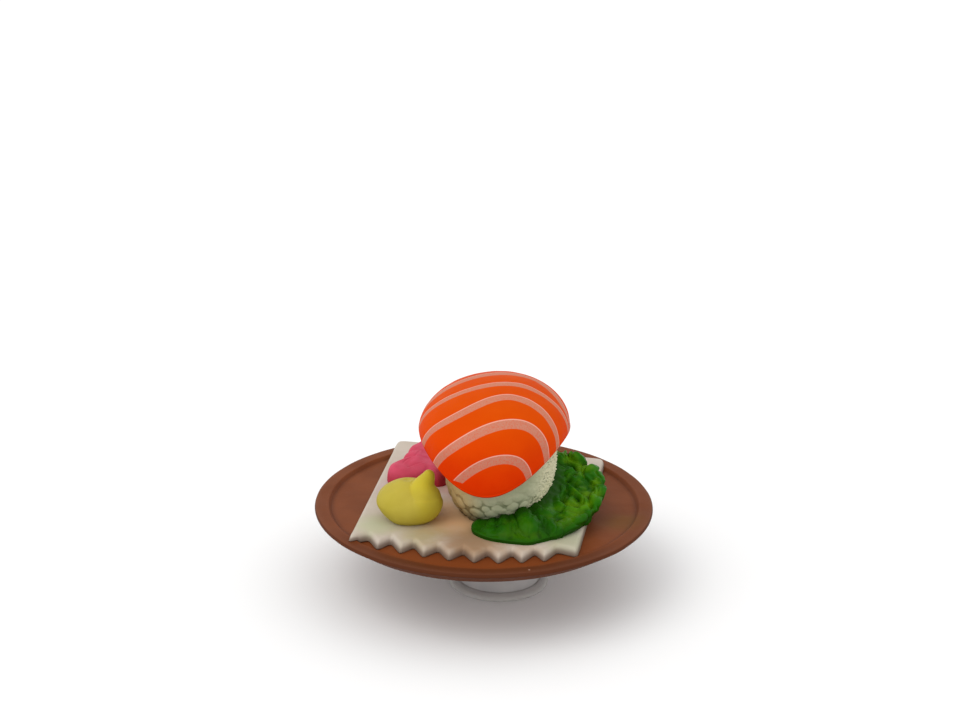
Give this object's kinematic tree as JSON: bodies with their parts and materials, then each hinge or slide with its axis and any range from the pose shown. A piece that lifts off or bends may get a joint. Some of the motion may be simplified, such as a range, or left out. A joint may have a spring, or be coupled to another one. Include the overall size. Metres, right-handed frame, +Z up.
{
  "type": "toy salmon nigiri",
  "caption": "Painted plastic toy: a salmon nigiri with lettuce, pink ginger and a yellow dollop, on a toothed sheet on a round brown dish with a small pale stand.",
  "frame": {"origin": "centre of the stand's flat underside", "axes": "+Z up; +X to the right and +Y to the back, as the toy is looked at from its toothed edge"},
  "size_m": [0.0602, 0.0602, 0.0398],
  "materials": {
    "stand_plastic": "satin light grey plastic",
    "dish_plastic": "satin brown plastic, warmer towards the front",
    "sheet_plastic": "matte off-white plastic with a tint of overspray",
    "rice_plastic": "matte pale green-white plastic, moulded as grains",
    "salmon_plastic": "satin orange plastic with pale pink painted bands",
    "leaf_plastic": "satin green plastic with yellow-green patches",
    "ginger_plastic": "matte pink plastic",
    "dollop_plastic": "satin yellow plastic"
  },
  "bodies": {
    "root": {"stand": "stand_plastic", "dish": "dish_plastic", "sheet": "sheet_plastic", "rice": "rice_plastic", "salmon": "salmon_plastic", "leaf": "leaf_plastic", "ginger": "ginger_plastic", "dollop": "dollop_plastic"}
  },
  "joints": []
}
